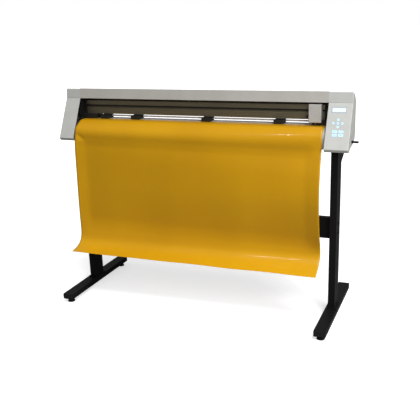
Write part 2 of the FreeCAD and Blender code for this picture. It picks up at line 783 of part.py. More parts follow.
def make_end_cover(label, outer_face, near, start, width, outward):
    """Moulded end cover: a hollow shell, open at its near side, with a seam line round the front."""
    cover = new_body(label)
    pad(cover, "X", start, width, COVER_OUTLINE)
    # The rear outer corner is trimmed by a plane that narrows the cover towards the back.
    corner = [(outer_face, "corner_start"), (outer_face, "rear_face + 5"),
              (f"{outer_face} - {outward} * corner_trim", "rear_face + 5")]
    round_edges(cover, "5", lambda edge: runs_along(edge, "X"))
    outer_x = number(outer_face)
    round_edges(cover, "3", lambda edge: edge.BoundBox.XLength < 0.01
                and abs(edge.CenterOfMass.x - outer_x) < 0.01)
    pocket(cover, "Z", "lip_bottom - 5", "brow_level - lip_bottom + 10", corner)
    deep = f"{width} - cover_wall"
    shallow = f"{width} - cover_wall - corner_trim"
    pocket(cover, "X", near if outward > 0 else f"{near} - ({deep})", deep, COVER_FRONT_INSIDE)
    pocket(cover, "X", near if outward > 0 else f"{near} - ({shallow})", shallow, COVER_INSIDE)
    groove = [("crease_front - 3", "crease_level"), ("crease_front + seam_depth", "crease_level"),
              ("crease_front + seam_depth + 0.3", "crease_level + seam_width"),
              ("crease_front - 3", "crease_level + seam_width")]
    pocket(cover, "X", f"{start} - 1", f"{width} + 2", groove)
    return cover


# The sloping front face of the right cover, which carries the screen and the keys.
SLOPE = math.degrees(math.atan2(number("crease_front - nose_front"), number("crease_level - nose_level")))


def panel_shape(name, x, down, kind, size, depth, lift):
    """A plug square to the sloping front: its centre is a distance down from the crease."""
    sine = round(math.sin(math.radians(SLOPE)), 6)
    cosine = round(math.cos(math.radians(SLOPE)), 6)
    thing = doc.addObject(kind, name)
    centre = (x, f"crease_front - ({down}) * {sine}", f"crease_level - ({down}) * {cosine}")
    # Local +Z points out of the panel and local +Y up along the slope.
    thing.Placement = FreeCAD.Placement(V(), FreeCAD.Rotation(V(1, 0, 0), 90 - SLOPE))
    shift = (0, 0)
    if kind == "Part::Box":
        bind(thing, "Length", size[0])
        bind(thing, "Width", size[1])
        shift = (f"({size[0]}) / 2", f"({size[1]}) / 2")
    else:
        bind(thing, "Radius", size)
    bind(thing, "Height", depth)
    bind(thing, "Placement.Base.x", f"{centre[0]} - {shift[0]}")
    back_down = f"(({lift}) - ({depth}))"
    bind(thing, "Placement.Base.y", f"{centre[1]} - {shift[1]} * {sine} - {back_down} * {cosine}")
    bind(thing, "Placement.Base.z", f"{centre[2]} - {shift[1]} * {cosine} + {back_down} * {sine}")
    return thing


ARROWS = {"centre": (0, 0), "up": (0, -1), "down": (0, 1), "left": (-1, 0), "right": (1, 0)}
WIDE_KEYS = {"menu": (-1, 0), "enter": (1, 0), "test": (-1, 1), "pause": (1, 1)}


def key_places():
    """Name, centre across, distance down the slope and plan size of every key."""
    places = {}
    for name, (across, down) in ARROWS.items():
        x = f"arrows_x + {across} * arrow_pitch * 1.2"
        places[f"key_{name}"] = (x, f"arrows_down + {down} * arrow_pitch", None)
    for name, (across, down) in WIDE_KEYS.items():
        x = f"wide_keys_x + {across} * (wide_key_long + wide_key_space) / 2"
        places[f"key_{name}"] = (x, f"wide_key_down + {down} * wide_key_pitch",
                                 ("wide_key_long", "wide_key_tall"))
    return places


def make_end_covers():
    left = make_end_cover("LeftCover", "left_face", "throat_left", "left_face", "left_cover_width", -1)
    node(left, "left_end_cover")
    shell = make_end_cover("RightCover", "right_face", "throat_right", "throat_right",
                           "right_cover_width", 1)
    openings = [panel_shape("ScreenHole", "screen_x", "screen_down", "Part::Box",
                            ("screen_wide", "screen_tall"), "12", "6")]
    for name, (x, down, size) in key_places().items():
        if size:
            grown = tuple(f"{side} + 2 * key_gap" for side in size)
            openings.append(panel_shape(f"{name}Hole", x, down, "Part::Box", grown, "12", "6"))
        else:
            openings.append(panel_shape(f"{name}Hole", x, down, "Part::Cylinder",
                                        "key_radius + key_gap", "12", "6"))
    openings += socket_holes()
    openings.append(handle_slot())
    node(cut("RightShell", shell, *openings), "right_end_cover")


def socket_holes():
    inlet = block("InletHole", ("socket_x - 14", "rear_face - 6", "socket_level - 10.5"), ("28", "10", "21"))
    data = block("DataHole", ("data_x - 7", "rear_face - 6", "socket_level - 6.5"), ("14", "10", "13"))
    switch = block("SwitchHole", ("socket_x - 12.2", "rear_face - 6", "switch_level - 9.2"),
                   ("24.4", "10", "18.4"))
    return [inlet, data, switch]


def handle_slot():
    """Slot in the outer wall in which the lift handle swings."""
    return block("HandleSlot", ("right_face - 8", "handle_back - handle_radius - 1.2",
                                "handle_level - handle_radius - 1.2"),
                 ("12", "2 * handle_radius + 6.6", "2 * handle_radius + 26.4"))


# ---------------------------------------------------------------------------------------
# Operator panel, electronics and sockets
# ---------------------------------------------------------------------------------------
def make_panel():
    """Screen module, keys with retaining flanges, and the boards behind them."""
    bezel = panel_shape("ScreenBezel", "screen_x", "screen_down", "Part::Box",
                        ("screen_wide - 1", "screen_tall - 1"), "9", "-0.4")
    board = panel_shape("ScreenBoard", "screen_x", "screen_down", "Part::Box",
                        ("screen_wide + 8", "screen_tall + 8"), "1.6", "-9.3")
    node(fuse("Screen", bezel, board), "lcd_module")
    for name, (x, down, size) in key_places().items():
        if size:
            cap = panel_shape(f"{name}Cap", x, down, "Part::Box", size, "key_proud + key_under", "key_proud")
            wider = tuple(f"{side} + 3" for side in size)
            flange = panel_shape(f"{name}Flange", x, down, "Part::Box", wider, "1.2", "-1 * key_under + 0.6")
        else:
            cap = panel_shape(f"{name}Cap", x, down, "Part::Cylinder", "key_radius",
                              "key_proud + key_under", "key_proud")
            flange = panel_shape(f"{name}Flange", x, down, "Part::Cylinder", "key_radius + 1.5",
                                 "1.2", "-1 * key_under + 0.6")
        node(fuse(f"{name}Key", cap, flange), name)


def make_electronics():
    """Power supply in the pan, the main board on spacers, and the board behind the keys."""
    floor = "pan_level + sheet_metal"
    left = "left_face + supply_left"
    case = block("SupplyCase", (left, "supply_front", floor), ("supply_long", "supply_deep", "supply_tall"))
    inside = block("SupplyInside", (f"{left} + thin_sheet", "supply_front + thin_sheet", f"{floor} - 1"),
                   ("supply_long - 2 * thin_sheet", "supply_deep - 2 * thin_sheet",
                    "supply_tall - thin_sheet + 1"))
    terminals = block("SupplyTerminals", (f"{left} + supply_long", "supply_front + 10", f"{floor} + 4"),
                      ("14", "supply_deep - 28", "16"))
    node(fuse("Supply", cut("SupplyShell", case, inside), terminals), "power_supply")
    deck = f"{floor} + board_rise"
    main = block("MainBoard", ("board_left", "board_front", deck),
                 ("board_long", "board_deep", "board_thick"))
    spacers = []
    for i, x in enumerate(("board_left + 6", "board_left + board_long - 14")):
        for j, y in enumerate(("board_front + 5", "board_front + board_deep - 13")):
            spacers.append(block(f"Spacer{i}{j}", (x, y, floor), ("8", "8", "board_rise")))
    chips = [block("DriverHeatsink", ("board_left + 20", "board_front + 65", f"{deck} + board_thick"),
                   ("80", "30", "18")),
             block("Processor", ("board_left + 40", "board_front + 20", f"{deck} + board_thick"),
                   ("28", "28", "3"))]
    key_board = panel_shape("KeyBoard", "arrows_x", "arrows_down + 24", "Part::Box",
                            ("84", "104"), "board_thick", "-1 * key_under - 2.4")
    node(group("Boards", fuse("MainAssembly", main, *spacers, *chips), key_board), "control_boards")


def make_sockets():
    """Mains inlet and data socket in the rear wall, and the rocker switch above them."""
    body = block("InletBody", ("socket_x - 13.5", "rear_face - 22", "socket_level - 10"), ("27", "22", "20"))
    cavity = block("InletCavity", ("socket_x - 11", "rear_face - 15", "socket_level - 7"), ("22", "16", "14"))
    pins = [block(f"InletPin{i}", (f"socket_x + {shift} - 1", "rear_face - 16", f"socket_level + {rise} - 2"),
                  ("2", "11", "4")) for i, (shift, rise) in enumerate(((-7, -1), (0, 3), (7, -1)))]
    inlet = fuse("Inlet", cut("InletShell", body, cavity), *pins)
    data = block("DataBody", ("data_x - 6.5", "rear_face - 17", "socket_level - 6"), ("13", "17", "12"))
    mouth = block("DataMouth", ("data_x - 4.2", "rear_face - 10", "socket_level - 4"), ("8.4", "12", "8"))
    tongue = block("DataTongue", ("data_x - 2.8", "rear_face - 11", "socket_level - 1.6"),
                   ("5.6", "8", "3.2"))
    housing = block("SwitchHousing", ("socket_x - 12", "rear_face - 15", "switch_level - 9"),
                    ("24", "16", "18"))
    well = block("SwitchWell", ("socket_x - 9.6", "rear_face - 13", "switch_level - 7.6"),
                 ("19.2", "16", "15.2"))
    pivot = rod("SwitchPivot", "X", ("socket_x - 13", "rear_face - 5", "switch_level"), "1.55", "26")
    bezel = cut("SwitchBezel", housing, well, pivot)
    node(group("Sockets", inlet, fuse("Data", cut("DataShell", data, mouth), tongue), bezel), "rear_sockets")
    rocker = block("Rocker", ("socket_x - 9", "rear_face - 5 - 4.796", "switch_level - 5.385"),
                   ("18", "11", "12"))
    rocker.Placement.Rotation = FreeCAD.Rotation(V(1, 0, 0), -8)
    stub = rod("RockerPin", "X", ("socket_x - 11", "rear_face - 5", "switch_level"), "1.5", "22")
    node(fuse("Switch", rocker, stub), "rocker_switch")


# ---------------------------------------------------------------------------------------
# Media feed
# ---------------------------------------------------------------------------------------
def belt_loop(name, ends, thickness, width_start, width, axis):
    """A flat belt round two pulleys: outer tangent outline less the inner one."""
    shapes = []
    for extra in (thickness, 0):
        (u0, v0, r0), (u1, v1, r1) = [(u, v, r + extra) for u, v, r in ends]
        span = math.hypot(u1 - u0, v1 - v0)
        heading = math.atan2(v1 - v0, u1 - u0)
        lean = math.acos((r0 - r1) / span)
        corners = []
        for side in (1, -1):
            angle = heading + side * lean
            direction = V(math.cos(angle), math.sin(angle), 0)
            corners.append((V(u0, v0, 0) + direction * r0, V(u1, v1, 0) + direction * r1))
        far = V(u1 + r1 * math.cos(heading), v1 + r1 * math.sin(heading), 0)
        near = V(u0 - r0 * math.cos(heading), v0 - r0 * math.sin(heading), 0)
        (near_up, far_up), (near_down, far_down) = corners
        edges = [Part.LineSegment(near_up, far_up), Part.Arc(far_up, far, far_down),
                 Part.LineSegment(far_down, near_down), Part.Arc(near_down, near, near_up)]
        shapes.append(Part.Face(Part.Wire([edge.toShape() for edge in edges])))
    ring = shapes[0].cut(shapes[1])
    solid = ring.extrude(V(0, 0, width))
    thing = doc.addObject("Part::Feature", name)
    if axis == "X":
        # Turn sketch (u, v, along) into (along, y, z).
        solid = solid.transformShape(FreeCAD.Matrix(0, 0, 1, width_start, 1, 0, 0, 0, 0, 1, 0, 0, 0, 0, 0, 1),
                                     True)
    else:
        solid.translate(V(0, 0, width_start))
    thing.Shape = solid
    return thing


def make_feed():
    """Feed shaft with its knurled rings and pulley, its bearings, motors, pulleys and belts."""
    place = ("pinch_line", "shaft_level")
    start = "throat_left - 4"
    shaft = rod("Shaft", "X", (start, *place), "shaft_radius", f"throat_right + 34 - ({start})")
    pulley = rod("ShaftPulley", "X", ("throat_right + 4", *place), "drive_pulley_radius", "belt_wide + 2")
    flange = rod("ShaftFlange", "X", ("throat_right + 14", *place), "drive_pulley_radius + 2.5", "1.5")
    node(fuse("DriveShaft", shaft, pulley, flange), "drive_shaft")
    rings = []
    for i, left in enumerate(grit_positions()):
        ring = rod(f"Ring{i}", "X", (left, *place), "grit_radius", "grit_length")
        bore = rod(f"RingBore{i}", "X", (f"{left} - 1", *place), "shaft_radius", "grit_length + 2")
        rings.append(cut(f"Grit{i}", ring, bore))
    node(group("Grit", *rings), "grit_rollers")
    bearings = []
    for i, x in enumerate(("throat_left", "bay_right")):
        race = rod(f"Race{i}", "X", (x, *place), "shaft_radius + 5", "side_plate_thick")
        bore = rod(f"RaceBore{i}", "X", (f"{x} - 1", *place), "shaft_radius + 0.05", "side_plate_thick + 2")
        bearings.append(cut(f"Bearing{i}", race, bore))
    node(group("Bearings", *bearings), "shaft_bearings")
    half = "motor_square / 2"
    feed = block("FeedMotor", ("bay_right - motor_length", f"feed_motor_back - {half}",
                               f"feed_motor_level - {half}"),
                               ("motor_length", "motor_square", "motor_square"))
    lift = block("CarriageMotor", (f"carriage_motor_x - {half}", f"belt_back - {half}",
                                   "belt_level + 6 + sheet_metal"), ("motor_square", "motor_square", "41"))
    node(group("Motors", feed, lift), "stepper_motors")
    spin = rod("FeedPinion", "X", ("bay_right + 0.5", "feed_motor_back", "feed_motor_level"),
               "motor_pulley_radius", "side_plate_thick + belt_wide + 5")
    node(spin, "feed_motor_pulley")
    pinion = rod("CarriagePinion", "Z", ("carriage_motor_x", "belt_back", "belt_level - 4"),
                 "belt_pulley_radius", "8")
    lower = rod("PinionRim", "Z", ("carriage_motor_x", "belt_back", "belt_level - 5.5"),
                "belt_pulley_radius + 2", "1.5")
    neck = rod("PinionNeck", "Z", ("carriage_motor_x", "belt_back", "belt_level + 4"), "5", "4.6")
    node(fuse("CarriagePulley", pinion, lower, neck), "carriage_motor_pulley")
    wheel = rod("IdlerWheel", "Z", ("idler_x", "belt_back", "belt_level - 4"), "belt_pulley_radius", "8")
    rim = rod("IdlerRim", "Z", ("idler_x", "belt_back", "belt_level - 5.5"), "belt_pulley_radius + 2", "1.5")
    hole = rod("IdlerBore", "Z", ("idler_x", "belt_back", "belt_level - 8"), "2.55", "16")
    node(cut("Idler", fuse("IdlerBody", wheel, rim), hole), "belt_idler")
    gap = 0.15
    feed_belt = belt_loop("FeedBelt", [(number("pinch_line"), number("shaft_level"),
                                        number("drive_pulley_radius") + gap),
                                       (number("feed_motor_back"), number("feed_motor_level"),
                                        number("motor_pulley_radius") + gap)],
                          number("belt_thick"), number("throat_right + 5"), number("belt_wide"), "X")
    radius = number("belt_pulley_radius") + gap
    long_belt = belt_loop("CarriageBelt", [(number("idler_x"), number("belt_back"), radius),
                                           (number("carriage_motor_x"), number("belt_back"), radius)],
                          number("belt_thick"), number("belt_level - carriage_belt_wide / 2"),
                          number("carriage_belt_wide"), "Z")
    node(group("Belts", feed_belt, long_belt), "timing_belts")


# ---------------------------------------------------------------------------------------
# Carriage and knife
# ---------------------------------------------------------------------------------------
def make_carriage():
    """Plate and hook that ride on the beam, the moulded cover, and the knife's slide and holder."""
    frame = new_body("CarriageFrame")
    half = "(carriage_wide / 2 - 4)"
    across = f"carriage_x - {half}"
    hook = [("carriage_back + 0.5", "carriage_step + 2"), ("beam_front - 0.1", "carriage_step + 2"),
            ("beam_front - 0.1", "beam_high + 0.1"), ("beam_rear + 0.1", "beam_high + 0.1"),
            ("beam_rear + 0.1", "beam_high - 14"), ("beam_rear + 5", "beam_high - 14"),
            ("beam_rear + 5", "beam_high + 5"), ("carriage_back + 0.5", "beam_high + 5")]
    pad(frame, "X", across, f"2 * {half}", hook)
    strand = "belt_back - belt_pulley_radius"
    grip = [("beam_front - 1", "belt_level + 3.6"), (f"{strand} + 3.4", "belt_level + 3.6"),
            (f"{strand} + 3.4", "belt_level - 3"), (f"{strand} + 0.4", "belt_level - 3"),
            (f"{strand} + 0.4", "belt_level + 3.3"), (f"{strand} - 2.2", "belt_level + 3.3"),
            (f"{strand} - 2.2", "belt_level - 3"), ("beam_front - 1", "belt_level - 3")]
    pad(frame, "X", "carriage_x - 12", "24", grip)
    node(frame, "carriage_frame")

    cover = new_body("CarriageCover")
    outline = [("carriage_front", "carriage_low"), ("arm_front - 2", "carriage_low"),
               ("arm_front - 2", "carriage_step"), ("carriage_back", "carriage_step"),
               ("carriage_back", "carriage_high"), ("carriage_front", "carriage_high")]
    pad(cover, "X", "carriage_x - carriage_wide / 2", "carriage_wide", outline)
    low = number("carriage_low")
    round_edges(cover, "3", lambda edge: (runs_along(edge, "Z") and edge.CenterOfMass.y < -31)
                or (edge.CenterOfMass.z > number("carriage_high") - 1 and edge.CenterOfMass.y < 1)
                or (runs_along(edge, "X") and edge.CenterOfMass.y < -31 and edge.CenterOfMass.z < low + 1))
    inside = [("carriage_front + 2", "carriage_low - 2"), ("arm_front", "carriage_low - 2"),
              ("arm_front", "carriage_step - 2"), ("carriage_back + 2", "carriage_step - 2"),
              ("carriage_back + 2", "carriage_high - 2"), ("carriage_front + 2", "carriage_high - 2")]
    pocket(cover, "X", "carriage_x - carriage_wide / 2 + 2", "carriage_wide - 4", inside)
    slot = centred("knife_line", "knob_level - 2", "8", "14")
    pocket(cover, "X", "carriage_x - carriage_wide / 2 - 1", "4", slot)
    node(cover, "carriage_cover")

    slide = block("SlideBlock", ("carriage_x - 14", "knife_line - 10", "carriage_step + 3"),
                  ("28", "carriage_back - knife_line + 9", "34"))
    bore = rod("SlideBore", "Z", ("carriage_x", "knife_line", "carriage_step"), "knife_radius + 0.05", "40")
    slit = block("SlideSlit", ("carriage_x - 0.8", "knife_line - 12", "carriage_step"), ("1.6", "8", "40"))
    thread = rod("SlideThread", "X", ("carriage_x - 16", "knife_line", "knob_level"), "2.55", "12")
    node(cut("ToolSlide", slide, bore, slit, thread), "tool_slider")

    place = ("carriage_x", "knife_line")
    barrel = rod("KnifeBarrel", "Z", (*place, "knife_level"), "knife_radius", "knife_long")
    collar = rod("KnifeCollar", "Z", (*place, "knife_collar_level"), "knife_radius + 1.8", "8")
    dial = rod("KnifeDial", "Z", (*place, "knife_dial_level"), "knife_radius + 1.8", "10")
    nose = rod("KnifeNose", "Z", (*place, "knife_level - knife_nose"), "3.2", "knife_nose", "Part::Cone",
               "knife_radius")
    blade = rod("KnifeTip", "Z", (*place, "knife_level - knife_nose - knife_tip"), "0.2", "knife_tip + 0.5",
                "Part::Cone", "0.9")
    node(fuse("Knife", barrel, collar, dial, nose, blade), "blade_holder")

    screw = rod("KnobScrew", "X", ("carriage_x - 36", "knife_line", "knob_level"), "2.5", "29.5")
    head = rod("KnobHead", "X", ("carriage_x - 46", "knife_line", "knob_level"), "8", "10")
    node(fuse("Knob", screw, head), "clamp_knob")


# ---------------------------------------------------------------------------------------
# Pinch units and lift
# ---------------------------------------------------------------------------------------
PINCH_PLACES = (-594.5, -402.5, 16.5, 409.5)


def make_pinch_unit(index, middle):
    """A hooded arm on the square lift bar, with a rubber wheel at its front end."""
    arm = new_body(f"PinchArm{index}")
    start = f"{middle} - pinch_wide / 2"
    hood = [("arm_front", "pinch_low"), ("lift_back + 9", "pinch_low"), ("lift_back + 9", "pinch_high + 1.5"),
            ("lift_back - 9", "pinch_high + 1.5"), ("lift_back - 16", "pinch_high"),
            ("arm_front", "pinch_high")]
    bar_hole = centred("lift_back", "lift_level", "lift_bar + 0.1", "lift_bar + 0.1")
    pad(arm, "X", start, "pinch_wide", hood, bar_hole)
    bay = [("arm_front + 1.4", "pinch_low - 2"), ("pinch_line + wheel_radius + 1.5", "pinch_low - 2"),
           ("pinch_line + wheel_radius + 1.5", "pinch_high - 1.5"), ("arm_front + 1.4", "pinch_high - 1.5")]
    pocket(arm, "X", f"{middle} - wheel_wide / 2 - 1.5", "wheel_wide + 3", bay)
    axle_bore = ("pinch_line", "wheel_level", "2.05")
    pocket(arm, "X", f"{middle} - wheel_wide / 2 - 8", "wheel_wide + 16", axle_bore)
    node(arm, f"pinch_arm_{index}")
    tyre = rod(f"Tyre{index}", "X", (f"{middle} - wheel_wide / 2", "pinch_line", "wheel_level"),
               "wheel_radius", "wheel_wide")
    axle = rod(f"Axle{index}", "X", (f"{middle} - wheel_wide / 2 - 7", "pinch_line", "wheel_level"),
               "2", "wheel_wide + 14")
    node(fuse(f"PinchWheel{index}", tyre, axle), f"pinch_wheel_{index}")


def make_lift():
    """Square lift bar with its crank, the link, and the bell lever with the outside handle."""
    bar = block("LiftSquare", ("bay_left + 1", "lift_back - lift_bar / 2", "lift_level - lift_bar / 2"),
                ("bay_wide - 2", "lift_bar", "lift_bar"))
    journals = rod("LiftJournals", "X", ("throat_left - 4", "lift_back", "lift_level"), "lift_bar / 2",
                   "right_face - 37 - throat_left + 4")
    crank = block("LiftCrank", ("right_face - 48", "lift_back - crank_reach - 5", "lift_level - 5"),
                  ("4", "crank_reach + 10", "10"))
    pin = rod("LiftPin", "X", ("right_face - 44", "lift_back - crank_reach", "lift_level"), "2", "5")
    node(fuse("LiftShaft", bar, journals, crank, pin), "lift_shaft")

    link_bar = block("LinkBar", ("right_face - 43", "lift_back - crank_reach - 5",
                                "lever_level - lever_crank_drop - 5"),
                     ("3", "10", "lift_level - lever_level + 11"))
    upper = rod("LinkUpper", "X", ("right_face - 44", "lift_back - crank_reach", "lift_level"),
                "link_bore", "5")
    lower = rod("LinkLower", "X", ("right_face - 44", "lever_back - lever_crank",
                                   "lever_level - lever_crank_drop"), "link_bore", "5")
    node(cut("LiftLink", link_bar, upper, lower), "lift_link")

    hub = rod("LeverHub", "X", ("right_face - 36", "lever_back", "lever_level"), "9", "12")
    bore = rod("LeverBore", "X", ("right_face - 38", "lever_back", "lever_level"), "3.05", "16")
    arm = new_body("LeverArm")
    pad(arm, "X", "right_face - 34", "6", [("lever_back", "lever_level - 7"),
                                           ("lever_back", "lever_level + 7"),
                                           ("handle_back - 5", "handle_level + 5"),
                                           ("handle_back - 5", "handle_level - 5")])
    crank_pin = rod("LeverPin", "X", ("right_face - 44", "lever_back - lever_crank",
                                      "lever_level - lever_crank_drop"), "2", "10.5")
    handle = rod("HandleRod", "X", ("right_face - 34", "handle_back", "handle_level"), "handle_radius",
                 "34 + handle_tip")
    collar = rod("HandleCollar", "X", ("right_face + 1.5", "handle_back", "handle_level"),
                 "handle_radius + 1.5", "5")
    node(fuse("Lever", cut("LeverBody", fuse("LeverBlank", hub, arm), bore), crank_pin, handle, collar),
         "lift_lever")


# ---------------------------------------------------------------------------------------
# Loaded sheet
# ---------------------------------------------------------------------------------------
SHEET_STATIONS = 90
# Degrees of the apron's curve that the sheet follows everywhere, and at its right-hand edge.
WRAP = 32
RIGHT_WRAP = 86
WRAP_STEP = 18
# The free part of each edge (Y, Z): it bulges forward, falls back and kicks out along its curl.
LEFT_HANG = [(-114, 966), (-132, 908), (-138, 865), (-147, 679), (-151, 470), (-151, 384),
             (-161, 340), (-186, 314), (-222, 300), (-262, 292)]
RIGHT_HANG = [(-98, 925), (-101, 895), (-111, 856), (-130, 763), (-138, 640), (-111, 469), (-85, 385),
              (-86, 349), (-104, 322), (-140, 298), (-186, 275)]


def sheet_section(x, wrap, hang):
    """Closed section of the sheet at one edge: it follows the apron as far as wrap, then hangs."""
    thickness = number("media_thick")
    level = number("media_level")
    front = number("bed_front")
    axis_level = number("apron_axis_level")
    radius = level - axis_level
    bend = math.radians(WRAP)

    def on_apron(angle):
        return V(x, front - radius * math.sin(angle), axis_level + radius * math.cos(angle))

    start = on_apron(bend)
    points = [start, start - V(0, math.cos(bend), math.sin(bend)) * 6]
    points += [on_apron(math.radians(angle)) for angle in range(WRAP + WRAP_STEP, wrap + 1, WRAP_STEP)]
    points += [V(x, y, z) for y, z in hang]
    normal = V(0, -math.sin(bend), math.cos(bend))
    curve = Part.BSplineCurve()
    curve.interpolate(points)
    tail = number("pinch_line + media_tail")

    def skin(offset):
        grown = radius + offset
        turn = bend / 2
        top = V(x, front, level + offset)
        middle = V(x, front - grown * math.sin(turn), axis_level + grown * math.cos(turn))
        stations = curve.discretize(Number=SHEET_STATIONS)
        moved = [stations[0] + normal * offset]
        for station in stations[1:]:
            tangent = curve.tangent(curve.parameter(station))[0]
            moved.append(station + V(0, tangent.z, -tangent.y) * offset)
        hanging = Part.BSplineCurve()
        hanging.interpolate(moved)
        tail_end = V(x, tail, level + offset)
        edges = [Part.LineSegment(tail_end, top), Part.Arc(top, middle, moved[0]), hanging]
        return [edge.toShape() for edge in edges], moved[-1], tail_end

    under, under_end, under_tail = skin(0)
    over, over_end, over_tail = skin(thickness)
    free_end = Part.LineSegment(under_end, over_end).toShape()
    bed_end = Part.LineSegment(over_tail, under_tail).toShape()
    return Part.Wire(under + [free_end] + over[::-1] + [bed_end])


def make_media():
    """Sheet of vinyl held at the pinch line, draped over the apron and hanging in front."""
    left = number("media_left")
    right = number("media_left + media_wide")
    thing = doc.addObject("Part::Feature", "Media")
    edges = [sheet_section(left, WRAP, LEFT_HANG), sheet_section(right, RIGHT_WRAP, RIGHT_HANG)]
    thing.Shape = Part.makeLoft(edges, True, True)
    node(thing, "vinyl_sheet")


# ---------------------------------------------------------------------------------------
# Build, check and write
# ---------------------------------------------------------------------------------------
def build():
    make_feet()
    make_end_plugs()
    make_levelling_feet()
    make_leg("left", 1)
    make_leg("right", -1)
    make_crossbar()
    make_bolts()
    make_roller_arms()
    make_media_roller("front")
    make_media_roller("rear")
    make_pan()
    make_apron()
    make_bed()
    make_left_plate()
    make_right_plate()
    make_beam()
    make_top_cover()
    make_end_covers()
    make_panel()
    make_electronics()
    make_sockets()
    make_feed()
    make_carriage()
    for index, middle in enumerate(PINCH_PLACES, start=1):
        make_pinch_unit(index, middle)
    make_lift()
    make_media()


def check():
    """Stop if any feature failed or any sub-part is empty or invalid."""
    doc.recompute()
    for thing in doc.Objects:
        if {"Invalid", "Error"} & set(thing.State):
            raise RuntimeError(f"{thing.Name} ({thing.Label}) did not recompute")
    for label, thing in NODES.items():
        if thing.Shape.isNull() or not thing.Shape.isValid() or not thing.Shape.Solids:
            raise RuntimeError(f"{label} has no valid solid")


def write():
    os.makedirs("parts", exist_ok=True)
    for label, thing in NODES.items():
        thing.Shape.exportStep(os.path.join("parts", f"{label}.step"))
    print(f"{len(NODES)} sub-parts written")


build()
check()
write()
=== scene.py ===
"""Looks for a vinyl cutter on a black stand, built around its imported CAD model.

Metres, +Z up, -Y to the operator.
"""
import bpy
import bmesh
import json
import math
from mathutils import Matrix, Vector


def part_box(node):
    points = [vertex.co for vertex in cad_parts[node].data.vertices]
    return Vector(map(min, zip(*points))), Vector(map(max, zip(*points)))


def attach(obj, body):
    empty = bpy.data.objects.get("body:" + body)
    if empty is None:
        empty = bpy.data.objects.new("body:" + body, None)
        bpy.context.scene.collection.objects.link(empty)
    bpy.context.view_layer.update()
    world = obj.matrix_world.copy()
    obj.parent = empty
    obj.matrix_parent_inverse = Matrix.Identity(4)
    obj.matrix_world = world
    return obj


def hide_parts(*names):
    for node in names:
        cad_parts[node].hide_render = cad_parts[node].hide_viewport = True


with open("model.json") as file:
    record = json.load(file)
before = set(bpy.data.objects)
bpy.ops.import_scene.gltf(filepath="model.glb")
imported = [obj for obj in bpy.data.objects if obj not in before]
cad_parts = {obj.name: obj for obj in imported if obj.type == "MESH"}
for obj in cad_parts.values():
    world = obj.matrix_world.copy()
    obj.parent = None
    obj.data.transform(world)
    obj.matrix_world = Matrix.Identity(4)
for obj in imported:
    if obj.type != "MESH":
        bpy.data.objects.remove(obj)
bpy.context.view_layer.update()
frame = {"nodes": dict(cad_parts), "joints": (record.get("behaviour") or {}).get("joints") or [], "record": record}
nodes = frame["nodes"]


# ---------------------------------------------------------------------------------------
# Shader helpers
# ---------------------------------------------------------------------------------------
def add_node(tree, kind, inputs=(), **settings):
    item = tree.nodes.new(kind)
    for name, value in settings.items():
        setattr(item, name, value)
    for name, value in dict(inputs).items():
        if isinstance(value, bpy.types.NodeSocket):
            tree.links.new(value, item.inputs[name])
        else:
            item.inputs[name].default_value = value
    return item


def start_material(name, **settings):
    """A new material with uniform values set straight on its principled shader."""
    material = bpy.data.materials.new(name)
    material.use_nodes = True
    shader = material.node_tree.nodes["Principled BSDF"]
    for socket, value in settings.items():
        shader.inputs[socket.replace("_", " ")].default_value = value
    return material, material.node_tree, shader


def place(tree, stretch=(1, 1, 1)):
    """Object coordinates, stretched along an axis where a finish has a direction."""
    coordinates = add_node(tree, "ShaderNodeTexCoord")
    mapping = add_node(tree, "ShaderNodeMapping", {"Vector": coordinates.outputs["Object"],
                                                   "Scale": stretch})
    return mapping.outputs["Vector"]


def noise(tree, vector, scale, detail=3, roughness=0.55):
    texture = add_node(tree, "ShaderNodeTexNoise", {"Vector": vector, "Scale": scale, "Detail": detail,
                                                    "Roughness": roughness})
    return texture.outputs["Fac"]


def ramp(tree, factor, low, high, start=0.3, end=0.7):
    """A colour that runs from low to high between two values of a factor."""
    item = add_node(tree, "ShaderNodeValToRGB", {"Fac": factor})
    item.color_ramp.elements[0].position = start
    item.color_ramp.elements[1].position = end
    item.color_ramp.elements[0].color = (*low, 1)
    item.color_ramp.elements[1].color = (*high, 1)
    return item.outputs["Color"]


def spread(tree, factor, low, high):
    """A number that follows a factor between two limits."""
    item = add_node(tree, "ShaderNodeMapRange", {"Value": factor, "From Min": 0.3, "From Max": 0.7,
                                                 "To Min": low, "To Max": high})
    return item.outputs["Result"]


def bump(tree, shader, height, strength, distance):
    item = add_node(tree, "ShaderNodeBump", {"Height": height, "Strength": strength, "Distance": distance})
    feed(shader, "Normal", item.outputs["Normal"])


def feed(shader, socket, source):
    """Joins a texture's output to one of a shader's sockets."""
    shader.id_data.links.new(source, shader.inputs[socket])


def scaled(colour, factor):
    return tuple(min(1.0, channel * factor) for channel in colour)


# ---------------------------------------------------------------------------------------
# Materials
# ---------------------------------------------------------------------------------------
def powder_coat(name, colour, roughness=0.45, grain=2200, gloss=0.5):
    """Sprayed coat on sheet metal: fine orange peel, slight clouding, a little dust in the gloss."""
    material, tree, shader = start_material(name, Roughness=roughness, Specular_IOR_Level=gloss)
    where = place(tree)
    cloud = noise(tree, where, scale=9, detail=4)
    feed(shader, "Base Color", ramp(tree, cloud, scaled(colour, 0.94), scaled(colour, 1.04)))
    peel = noise(tree, where, grain, detail=2)
    dust = noise(tree, where, scale=60)
    feed(shader, "Roughness", spread(tree, dust, low=roughness - 0.05, high=roughness + 0.07))
    bump(tree, shader, peel, strength=0.18, distance=0.0002)
    return material


